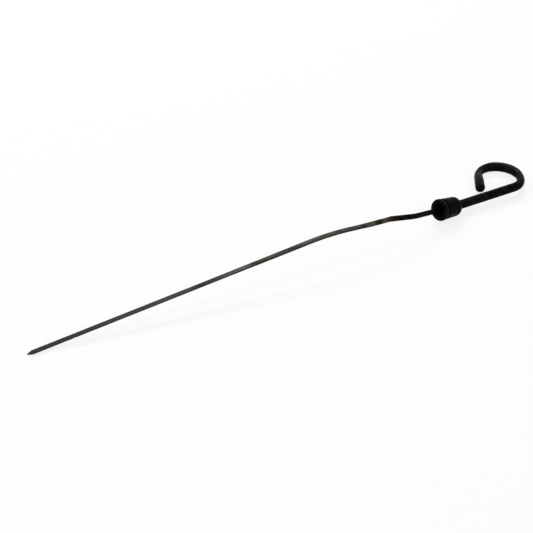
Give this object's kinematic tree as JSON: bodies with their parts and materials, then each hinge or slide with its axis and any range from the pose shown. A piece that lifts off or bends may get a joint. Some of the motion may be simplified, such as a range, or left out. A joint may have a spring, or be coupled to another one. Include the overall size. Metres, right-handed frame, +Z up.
{
  "type": "engine oil dipstick",
  "caption": "Engine oil dipstick lying at rest: black hooked rod handle, stepped stop cap that seats on the guide tube, and a long thin steel blade with a bent, twisted root and pointed tip.",
  "frame": {"origin": "middle of the rod's guide nose, on the stop cap's axis", "axes": "+X from the tip towards the handle, +Z up, with the hook's loop towards +Y"},
  "size_m": [0.4633, 0.0607, 0.0303],
  "materials": {
    "handle_coat": "gloss black dipped coat",
    "cap_paint": "black paint, slightly worn at the edges",
    "seal_rubber": "matte oil-resistant rubber",
    "rivet_steel": "plain steel",
    "blade_steel": "dark spring steel, oil-stained, with a black coat on the root"
  },
  "bodies": {
    "root": {"handle_rod": "handle_coat", "stop_cap": "cap_paint", "seal_washer": "seal_rubber", "strip_rivet": "rivet_steel", "blade": "blade_steel"}
  },
  "joints": []
}
